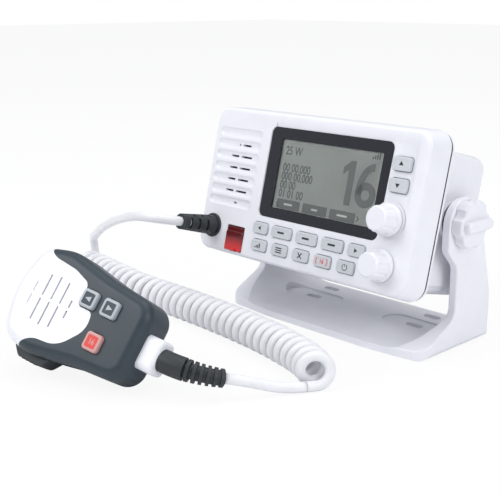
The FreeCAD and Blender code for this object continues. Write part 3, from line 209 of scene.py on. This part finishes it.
MATERIALS = {
    "white_plastic": new_material("white_moulded", (0.80, 0.805, 0.85), 0.33, mottle=0.02, coat=0.15,
                                  grain=0.10),
    "key_plastic": new_material("key_moulded", (0.56, 0.585, 0.615), 0.42, mottle=0.03, grain=0.16),
    "dark_rubber": new_material("dark_rubber", (0.018, 0.024, 0.028), 0.5, mottle=0.12, grain=0.3),
    "charcoal_plastic": new_material("charcoal_moulded", (0.024, 0.038, 0.050), 0.42, mottle=0.08,
                                     grain=0.22, specular=0.45),
    "black_gloss": new_material("black_gloss", (0.004, 0.006, 0.012), 0.16, mottle=0.1, coat=0.5, grain=0.02),
    "clear_glass": glass_material(),
    "lcd_grey": new_material("screen_ground", (0.66, 0.71, 0.675), 0.4, mottle=0.015, mottle_scale=30.0,
                             grain=0.02),
    "red_plastic": new_material("red_moulded", (0.50, 0.012, 0.014), 0.3, mottle=0.06, coat=0.3, grain=0.05),
    "coral_plastic": new_material("coral_key", (0.62, 0.20, 0.17), 0.42, mottle=0.05, grain=0.16),
    "white_cord": new_material("white_cord", (0.78, 0.785, 0.81), 0.45, mottle=0.03, grain=0.14,
                               mottle_scale=140.0),
    "cast_aluminium": new_material("cast_alloy", (0.60, 0.61, 0.63), 0.42, mottle=0.08, metallic=0.9,
                                   grain=0.4, grain_scale=700.0),
    "nickel_brass": new_material("nickel_plate", (0.66, 0.65, 0.62), 0.24, mottle=0.05, metallic=1.0,
                                 grain=0.08),
    "brass_insert": new_material("turned_brass", (0.62, 0.42, 0.15), 0.3, mottle=0.1, metallic=1.0,
                                 grain=0.1),
    "steel_screw": new_material("machined_steel", (0.55, 0.56, 0.58), 0.32, mottle=0.08, metallic=1.0,
                                grain=0.12),
    "board_green": new_material("board_resin", (0.02, 0.12, 0.045), 0.4, mottle=0.2, grain=0.1),
    "speaker_paper": new_material("speaker_paper", (0.03, 0.03, 0.032), 0.7, mottle=0.2, grain=0.4),
}
RED_FLAP_PAINTED_LIGHT = red_flap_material()
BLACK_INK = new_material("black_ink", (0.010, 0.011, 0.014), 0.5, mottle=0.1, grain=0.05)
GREY_INK = new_material("segment_ink", (0.150, 0.162, 0.158), 0.5, mottle=0.04, grain=0.02)
PALE_INK = new_material("pale_ink", (0.62, 0.66, 0.63), 0.5, mottle=0.04, grain=0.02)
SILVER = new_material("key_rim", (0.40, 0.44, 0.47), 0.38, mottle=0.06, grain=0.12)
RED_INK = new_material("red_ink", (0.70, 0.03, 0.035), 0.45, mottle=0.05, grain=0.05)
RED_KEY = new_material("red_key", (0.66, 0.040, 0.028), 0.4, mottle=0.08, grain=0.14)
GASKET = new_material("gasket_rubber", (0.007, 0.008, 0.010), 0.6, mottle=0.1, grain=0.2)
PINK_RIM = new_material("pink_rim", (0.56, 0.30, 0.29), 0.42, mottle=0.05, grain=0.12)

slots = {part["node"]: part["material_slot"] for part in frame["record"]["subparts"]}


CREASE = math.radians(32.0)
WELD_GAP = 1e-6


def dress(node, material):
    """Material and shading of a CAD node; its vertices stay as they are."""
    o = nodes[node]
    o.data.materials.clear()
    o.data.materials.append(material)
    for polygon in o.data.polygons:
        polygon.use_smooth = True
        polygon.material_index = 0
    weld = o.modifiers.new("weld", "WELD")
    weld.merge_threshold = WELD_GAP
    split = o.modifiers.new("crease", "EDGE_SPLIT")
    split.split_angle = CREASE


for node in nodes:
    dress(node, MATERIALS[slots[node]])
OWN_LOOKS = {"bezel_gasket": GASKET, "distress_cover": RED_FLAP_PAINTED_LIGHT, "mic_key_up": SILVER, "mic_key_down": SILVER,
             "mic_key_16": PINK_RIM}
for node, material in OWN_LOOKS.items():
    nodes[node].data.materials[0] = material


# Cords: smooth splines with the routes as their control points, in millimetres
UPPER_ROUTE = [
    (-71.3, -76.43, 63.6), (-71.3, -91.46, 67.32), (-80.0, -100.5, 69.0), (-97.0, -98.5, 67.0),
    (-118.0, -91.5, 61.5), (-141.0, -85.5, 54.0), (-163.0, -79.5, 44.5), (-181.5, -72.0, 34.5),
    (-199.93, -60.99, 28.98), (-197.57, -61.32, 16.2),
]
LOWER_ROUTE = [
    (59.96, -110.71, 2.89), (54.01, -121.13, 2.88), (43.02, -137.45, 8.75), (36.61, -147.29, 11.22),
]
COIL_OD = 21.0
COIL_START = (-197.5, -69.0)
# Distance along the coil's axis with the heading in degrees, and with the pitch in millimetres
COIL_HEADINGS = [(0, -7.5), (62, -9.0), (84, -2.0), (110, 0.0), (165, -4.0), (200, -8.0), (235, -15.0),
                 (252, -25.0), (270, -44.0)]
COIL_PITCHES = [(0, 9.0), (94, 9.0), (104, 7.0), (200, 7.0), (235, 7.4), (270, 7.8)]
COIL_TURNS = 34.25
PER_TURN = 16


def spline_object(name, points, bevel=0.0):
    curve = bpy.data.curves.new(name, "CURVE")
    curve.dimensions = "3D"
    curve.resolution_u = 8
    spline = curve.splines.new("NURBS")
    spline.points.add(len(points) - 1)
    for target, p in zip(spline.points, points):
        target.co = (p[0] * MM, p[1] * MM, p[2] * MM, 1.0)
    spline.order_u = 3
    spline.use_endpoint_u = True
    curve.bevel_depth = bevel
    curve.bevel_resolution = 4
    curve.use_fill_caps = True
    o = bpy.data.objects.new(name, curve)
    bpy.context.scene.collection.objects.link(o)
    return o


def spline_points(name, route):
    """Points along a route's own spline."""
    o = spline_object(name + "_line", route)
    mesh = bpy.data.meshes.new_from_object(o)
    points = [v.co.copy() for v in mesh.vertices]
    bpy.data.objects.remove(o)
    bpy.data.meshes.remove(mesh)
    return points


def tube_mesh(name, path, radius, sides=20):
    """Round tube that follows a path without twisting."""
    bm = bmesh.new()
    rings = []
    tangent = (path[1] - path[0]).normalized()
    normal = tangent.orthogonal().normalized()
    for i, p in enumerate(path):
        ahead = path[min(i + 1, len(path) - 1)] - path[max(i - 1, 0)]
        new_tangent = ahead.normalized()
        normal = tangent.rotation_difference(new_tangent) @ normal
        tangent = new_tangent
        normal = (normal - tangent * normal.dot(tangent)).normalized()
        other = tangent.cross(normal)
        ring = [bm.verts.new(p + (normal * math.cos(2 * math.pi * k / sides)
                                  + other * math.sin(2 * math.pi * k / sides)) * radius)
                for k in range(sides)]
        rings.append(ring)
    for a, b in zip(rings, rings[1:]):
        for k in range(sides):
            bm.faces.new((a[k], a[(k + 1) % sides], b[(k + 1) % sides], b[k]))
    bm.faces.new(list(reversed(rings[0])))
    bm.faces.new(rings[-1])
    mesh = bpy.data.meshes.new(name)
    bmesh.ops.recalc_face_normals(bm, faces=bm.faces)
    bm.to_mesh(mesh)
    bm.free()
    for polygon in mesh.polygons:
        polygon.use_smooth = len(polygon.vertices) == 4
    o = bpy.data.objects.new(name, mesh)
    bpy.context.scene.collection.objects.link(o)
    return o


def table_value(table, distance):
    """Value of a table of (distance, value) rows, on straight lines between them."""
    for (d0, v0), (d1, v1) in zip(table, table[1:]):
        if distance <= d1:
            return v0 + (v1 - v0) * (distance - d0) / (d1 - d0)
    return table[-1][1]


def helix_points():
    """Control points of the curly cord: a helix round the coil's bent axis, lying on the floor."""
    radius = (COIL_OD - CORD_MM) / 2
    bulge = radius / math.cos(math.pi / PER_TURN)
    distance, x, y = 0.0, COIL_START[0], COIL_START[1]
    points = []
    for i in range(int(COIL_TURNS * PER_TURN) + 1):
        heading = math.radians(table_value(COIL_HEADINGS, distance))
        turn = 2 * math.pi * i / PER_TURN
        points.append(Vector((x - math.sin(heading) * bulge * math.cos(turn),
                              y + math.cos(heading) * bulge * math.cos(turn),
                              COIL_OD / 2 - bulge * math.sin(turn))))
        step = table_value(COIL_PITCHES, distance) / PER_TURN
        distance += step
        x += step * math.cos(heading)
        y += step * math.sin(heading)
    lead_in = Vector(UPPER_ROUTE[-1])
    lead_out = Vector(LOWER_ROUTE[0])
    points[0] = points[0] * 0.5 + (lead_in + (points[1] - lead_in) * 0.4) * 0.5
    return [lead_in] + points + [lead_out]


def make_cords():
    upper_path = spline_points("cord_upper", UPPER_ROUTE)
    upper = tube_mesh("cord_upper_white", upper_path, CORD_D / 2)
    upper.data.materials.append(MATERIALS["white_cord"])
    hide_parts("cord_upper")
    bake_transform(upper)
    coil = spline_object("cord_coil_white", helix_points(), CORD_D / 2)
    coil.data.materials.append(MATERIALS["white_cord"])
    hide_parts("cord_coil")
    coil_path = spline_points("cord_coil", helix_points())
    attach(coil, "bracket")
    lower_path = spline_points("cord_lower", LOWER_ROUTE)
    lower = tube_mesh("cord_lower_white", lower_path, CORD_D / 2)
    lower.data.materials.append(MATERIALS["white_cord"])
    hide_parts("cord_lower")
    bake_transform(lower)


make_cords()


# Flat inlays and printed marks, all sizes in millimetres
PRINT_T = 0.05
LEGEND_T = 0.06


def outline_mesh(name, loops, thickness, place, body, material):
    """Thin raised shapes from 2-D outlines (u, v) in millimetres, set on a surface by place."""
    bm = bmesh.new()
    for loop in loops:
        front = [bm.verts.new((u, v, thickness)) for u, v in loop]
        back = [bm.verts.new((u, v, 0.0)) for u, v in loop]
        bm.faces.new(front)
        bm.faces.new(list(reversed(back)))
        for i in range(len(loop)):
            j = (i + 1) % len(loop)
            bm.faces.new((front[j], front[i], back[i], back[j]))
    bmesh.ops.recalc_face_normals(bm, faces=bm.faces)
    mesh = bpy.data.meshes.new(name)
    bm.to_mesh(mesh)
    bm.free()
    mesh.transform(place)
    mesh.materials.append(material)
    o = bpy.data.objects.new(name, mesh)
    bpy.context.scene.collection.objects.link(o)
    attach(o, body)


def on_radio(x, z, y):
    """Marks that face forward on the radio, centred at x, z with their back at depth y."""
    return RADIO @ Matrix.Translation((x, y, z)) @ Matrix.Rotation(math.radians(90), 4, "X")


def on_mic(x, y, z):
    """Marks on the microphone's face, centred at x, y with their back at height z."""
    return MIC @ Matrix.Translation((x, y, z))


def bar(u, v, w, h):
    """Rectangle of width w and height h, centred at u, v."""
    return [(u - w / 2, v - h / 2), (u + w / 2, v - h / 2), (u + w / 2, v + h / 2), (u - w / 2, v + h / 2)]


def rounded(u, v, w, h, r, steps=5):
    """The same with rounded corners of radius r."""
    loop = []
    for cx, cy, start in ((u + w / 2 - r, v + h / 2 - r, 0), (u - w / 2 + r, v + h / 2 - r, 90),
                          (u - w / 2 + r, v - h / 2 + r, 180), (u + w / 2 - r, v - h / 2 + r, 270)):
        for i in range(steps + 1):
            a = math.radians(start + 90 * i / steps)
            loop.append((cx + r * math.cos(a), cy + r * math.sin(a)))
    return loop


def arc_strip(u, v, radius, width, start, end, steps=18):
    """Quads of a ring segment, from start to end in degrees."""
    inner, outer = radius - width / 2, radius + width / 2
    loops = []
    for i in range(steps):
        a, b = (math.radians(start + (end - start) * k / steps) for k in (i, i + 1))
        loops.append([(u + r * math.cos(t), v + r * math.sin(t))
                      for r, t in ((inner, a), (outer, a), (outer, b), (inner, b))])
    return loops


def frame_strip(u, v, w, h, r, width, steps=4):
    """Quads of a rounded rectangular outline."""
    outer = rounded(u, v, w, h, r, steps)
    inner = rounded(u, v, w - 2 * width, h - 2 * width, max(r - width, 0.05), steps)
    count = len(outer)
    return [[outer[i], outer[(i + 1) % count], inner[(i + 1) % count], inner[i]] for i in range(count)]


def text_mesh(name, letters, height, squeeze, place, body, material, weight, align="CENTER"):
    """Plain digits as thin raised letters, squeezed sideways and emboldened by weight."""
    curve = bpy.data.curves.new(name, "FONT")
    curve.body = letters
    curve.size = 1.0
    curve.align_x = align
    curve.offset = weight
    curve.extrude = 0.01
    text = bpy.data.objects.new(name + "_text", curve)
    bpy.context.scene.collection.objects.link(text)
    bpy.context.view_layer.update()
    mesh = bpy.data.meshes.new_from_object(text)
    bpy.data.objects.remove(text)
    ys = [v.co.y for v in mesh.vertices]
    k = height / (max(ys) - min(ys))
    middle = (max(ys) + min(ys)) / 2
    mesh.transform(Matrix.Diagonal((k * squeeze, k, 1.0, 1.0)) @ Matrix.Translation((0, -middle, 0)))
    for v in mesh.vertices:
        v.co.z = LEGEND_T if v.co.z > 0 else 0.0
    mesh.transform(place)
    mesh.name = name
    mesh.materials.clear()
    mesh.materials.append(material)
    o = bpy.data.objects.new(name, mesh)
    bpy.context.scene.collection.objects.link(o)
    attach(o, body)


# Display content, generic: channel number, readings, three soft-key blocks and a signal mark
SCREEN_Y = 2.12
READINGS_X = -21.5
READINGS = [("25 W", 5.2, 24.0), ("00 00.000", 5.0, 13.9), ("000 00.000", 5.0, 8.7), ("00 00", 5.0, 3.5),
            ("01 01 00", 5.0, -1.7)]
BLOCK_Z = -8.1
BLOCK_H = 5.6
BLOCK_CORNER_R = 0.5
BLOCK_MARK_H = 1.1
BLOCKS = [(-12.3, 18.5, 6.5), (8.8, 18.8, 4.5), (29.9, 18.8, 7.5)]


def channel_number():
    """Loops of a large 1 and 6 in heavy strokes."""
    one = [(29.3, -1.7), (33.6, -1.7), (33.6, 23.7), (30.2, 23.7), (25.2, 19.6), (25.2, 15.4), (29.3, 18.4)]
    turns = [math.radians(90 + 7.5 * k) for k in range(13)]
    stem = [(47.2 + 10.9 * math.cos(a), 7.5 + 16.2 * math.sin(a)) for a in turns]
    stem += [(36.3, 5.7), (40.5, 5.7)]
    stem += [(47.2 + 6.7 * math.cos(a), 7.5 + 12.0 * math.sin(a)) for a in reversed(turns)]
    return [one, stem] + arc_strip(43.5, 5.7, 5.1, 4.2, 0, 360, 36)


def make_display():
    ground = on_radio(0, 0, SCREEN_Y)
    on_blocks = on_radio(0, 0, SCREEN_Y - 0.06)
    outline_mesh("screen_channel", channel_number(), PRINT_T, ground, "radio", GREY_INK)
    for i, (digits, height, z) in enumerate(READINGS):
        text_mesh("screen_row_%d" % i, digits, height, 0.80, on_radio(READINGS_X, z, SCREEN_Y), "radio",
                  GREY_INK, weight=0.012, align="LEFT")
    blocks = [rounded(x, BLOCK_Z, width, BLOCK_H, BLOCK_CORNER_R) for x, width, _ in BLOCKS]
    outline_mesh("screen_blocks", blocks, PRINT_T, ground, "radio", GREY_INK)
    marks = [bar(x, BLOCK_Z, mark, BLOCK_MARK_H) for x, _, mark in BLOCKS]
    outline_mesh("screen_block_marks", marks, 0.04, on_blocks, "radio", PALE_INK)
    arrows = [[(-22.2, -8.1), (-20.6, -6.3), (-20.1, -6.8), (-21.2, -8.1), (-20.1, -9.4), (-20.6, -9.9)],
              [(42.4, -8.1), (40.8, -6.3), (40.3, -6.8), (41.4, -8.1), (40.3, -9.4), (40.8, -9.9)]]
    signal = [bar(44.6 + 1.5 * i, 27.0 + 0.4 * i, 0.9, 1.2 + 0.8 * i) for i in range(4)]
    outline_mesh("screen_symbols", arrows + signal, PRINT_T, ground, "radio", GREY_INK)


# Legends on the keys: centre, outlines
KEY_PROUD = 1.5
KEY_DISH = 0.12
KEY_TOP = -KEY_PROUD + KEY_DISH
CHANNEL_X = 24.0
POWER = arc_strip(0, 0, 1.75, 0.42, -235, 55) + [bar(0, 1.5, 0.42, 2.0)]
LEGENDS = {
    "key_left": (-28.6, ROW_1_Z, [[(-1.4, 0), (0.8, 1.3), (0.8, -1.3)]]),
    "softkey_1": (-11.0, ROW_1_Z, [bar(0, 0, 5.2, 1.15)]),
    "softkey_2": (9.0, ROW_1_Z, [bar(0, 0, 5.4, 1.15)]),
    "softkey_3": (29.0, ROW_1_Z, [bar(0, 0, 5.4, 1.15)]),
    "key_right": (46.6, ROW_1_Z, [[(1.4, 0), (-0.8, -1.3), (-0.8, 1.3)]]),
    "key_hi_lo": (-27.6, ROW_2_Z,
                  [bar(-2.6 + 1.3 * i, -1.3 + 0.35 * i, 0.7, 0.8 + 0.7 * i) for i in range(4)]),
    "key_menu": (-10.4, ROW_2_Z, [bar(0, v, 5.0, 0.62) for v in (1.3, 0, -1.3)]),
    "key_clear": (6.8, ROW_2_Z, [[(-1.8, -1.4), (-1.3, -1.8), (1.8, 1.4), (1.3, 1.8)],
                                 [(-1.3, 1.8), (-1.8, 1.4), (1.3, -1.8), (1.8, -1.4)]]),
    "key_power": (41.2, ROW_2_Z, POWER),
    "key_up": (66.5, 26.0, [[(-1.5, -0.9), (1.5, -0.9), (0, 1.5)]]),
    "key_down": (66.5, 14.2, [[(-1.5, 0.9), (0, -1.5), (1.5, 0.9)]]),
}


def make_legends():
    for key, (x, z, loops) in LEGENDS.items():
        outline_mesh(key + "_mark", loops, LEGEND_T, on_radio(x, z, KEY_TOP), key + "_cap", BLACK_INK)
    place = on_radio(CHANNEL_X, ROW_2_Z, KEY_TOP)
    outline_mesh("key_channel_ring", frame_strip(0, 0, 8.8, 4.8, 1.8, 0.45), LEGEND_T, place,
                 "key_channel_cap", RED_INK)
    text_mesh("key_channel_number", "16", 2.6, 0.95, place, "key_channel_cap", RED_INK,
              weight=0.02)


# Inlays of the microphone's keys
MIC_FRONT_T = 13.0
MIC_KEY_PROUD = 2.4
MIC_KEY_INSET = 0.3
INLAY_SIDE = 6.7
INLAY_CORNER_R = 0.8
INLAY_T = 0.12
RED_INLAY_T = 0.14
ARROW_T = 0.10


def make_mic_inlays():
    top = MIC_FRONT_T + MIC_KEY_PROUD - MIC_KEY_INSET
    inlay = rounded(0, 0, INLAY_SIDE, INLAY_SIDE, INLAY_CORNER_R)
    charcoal = MATERIALS["charcoal_plastic"]
    for key, x, y, point in (("mic_key_up", 3.2, 10.3, -1), ("mic_key_down", 17.6, 10.3, 1)):
        outline_mesh(key + "_inlay", [inlay], INLAY_T, on_mic(x, y, top), key + "_cap", charcoal)
        arrow = [(2.2 * point, 0.0), (-1.5 * point, 1.5), (-1.5 * point, -1.5)]
        outline_mesh(key + "_arrow", [arrow], ARROW_T, on_mic(x, y, top + INLAY_T), key + "_cap", SILVER)
    x, y = 17.2, -9.0
    outline_mesh("mic_key_16_inlay", [inlay], RED_INLAY_T, on_mic(x, y, top), "mic_key_16_cap", RED_KEY)
    text_mesh("mic_key_16_number", "16", 3.0, 0.9, on_mic(x, y, top + RED_INLAY_T), "mic_key_16_cap", PINK_RIM,
              weight=0.02)


# The pale core seen through the windows of the radio's strain relief
CORE_R = 3.68


def make_relief_core():
    points = [radio_point(EXIT_X, y, EXIT_Z) for y in (-3.5, -10.0, -16.0, -22.0, -27.5)]
    core = tube_mesh("relief_core_radio", points, CORE_R * MM)
    core.data.materials.append(MATERIALS["white_cord"])
    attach(core, "radio")


make_display()
make_legends()
make_mic_inlays()
make_relief_core()


# Studio: pale floor, a white surround and soft lamps, in metres
FLOOR_HALF = 6.0
FLOOR_Z = -0.0002
FLOOR_GLOW_SHARE = 0.90
AMBIENT_COLOUR = (0.93, 0.95, 1.0, 1)
AMBIENT_STRENGTH = 0.55
LAMPS = [
    ("key_lamp", (-0.5, -1.1, 1.1), (0, -0.05, 0.05), 0.9, 11.0),
    ("right_lamp", (1.3, -0.2, 0.8), (0, 0, 0.05), 0.8, 7.0),
    ("top_lamp", (0.0, 0.3, 1.5), (0, 0, 0), 1.2, 9.0),
]


def make_stage():
    """Floor whose camera rays are mostly plain white, so that only a soft shadow shows on it."""
    bm = bmesh.new()
    bmesh.ops.create_grid(bm, x_segments=1, y_segments=1, size=FLOOR_HALF)
    mesh = bpy.data.meshes.new("floor")
    bm.to_mesh(mesh)
    bm.free()
    floor = bpy.data.objects.new("floor", mesh)
    floor.location.z = FLOOR_Z
    bpy.context.scene.collection.objects.link(floor)
    material = bpy.data.materials.new("floor_pale")
    material.use_nodes = True
    tree = material.node_tree
    shader = tree.nodes["Principled BSDF"]
    shader.inputs["Base Color"].default_value = (0.86, 0.86, 0.87, 1)
    shader.inputs["Roughness"].default_value = 0.9
    shader.inputs["Specular IOR Level"].default_value = 0.1
    glow = tree.nodes.new("ShaderNodeEmission")
    glow.inputs["Strength"].default_value = 1.0
    path = tree.nodes.new("ShaderNodeLightPath")
    share = tree.nodes.new("ShaderNodeMath")
    share.operation = "MULTIPLY"
    share.inputs[1].default_value = FLOOR_GLOW_SHARE
    tree.links.new(path.outputs["Is Camera Ray"], share.inputs[0])
    mix = tree.nodes.new("ShaderNodeMixShader")
    tree.links.new(share.outputs["Value"], mix.inputs["Fac"])
    tree.links.new(shader.outputs["BSDF"], mix.inputs[1])
    tree.links.new(glow.outputs["Emission"], mix.inputs[2])
    tree.links.new(mix.outputs["Shader"], tree.nodes["Material Output"].inputs["Surface"])
    floor.data.materials.append(material)


def make_world():
    """Pale light all round; white where the camera sees past the floor."""
    world = bpy.data.worlds.new("studio")
    world.use_nodes = True
    bpy.context.scene.world = world
    tree = world.node_tree
    ambient = tree.nodes["Background"]
    ambient.inputs["Color"].default_value = AMBIENT_COLOUR
    ambient.inputs["Strength"].default_value = AMBIENT_STRENGTH
    seen = tree.nodes.new("ShaderNodeBackground")
    seen.inputs["Color"].default_value = (1, 1, 1, 1)
    seen.inputs["Strength"].default_value = 1.0
    path = tree.nodes.new("ShaderNodeLightPath")
    mix = tree.nodes.new("ShaderNodeMixShader")
    either = tree.nodes.new("ShaderNodeMath")
    either.operation = "MAXIMUM"
    tree.links.new(path.outputs["Is Camera Ray"], either.inputs[0])
    tree.links.new(path.outputs["Is Transmission Ray"], either.inputs[1])
    tree.links.new(either.outputs["Value"], mix.inputs["Fac"])
    tree.links.new(ambient.outputs["Background"], mix.inputs[1])
    tree.links.new(seen.outputs["Background"], mix.inputs[2])
    tree.links.new(mix.outputs["Shader"], tree.nodes["World Output"].inputs["Surface"])


def area_lamp(name, location, target, size, watts):
    data = bpy.data.lights.new(name, "AREA")
    data.shape = "SQUARE"
    data.size = size
    data.energy = watts
    lamp = bpy.data.objects.new(name, data)
    lamp.location = location
    lamp.rotation_euler = (Vector(target) - Vector(location)).to_track_quat("-Z", "Y").to_euler()
    bpy.context.scene.collection.objects.link(lamp)


make_stage()
make_world()
for lamp in LAMPS:
    area_lamp(*lamp)

bpy.context.scene.view_settings.view_transform = "Standard"
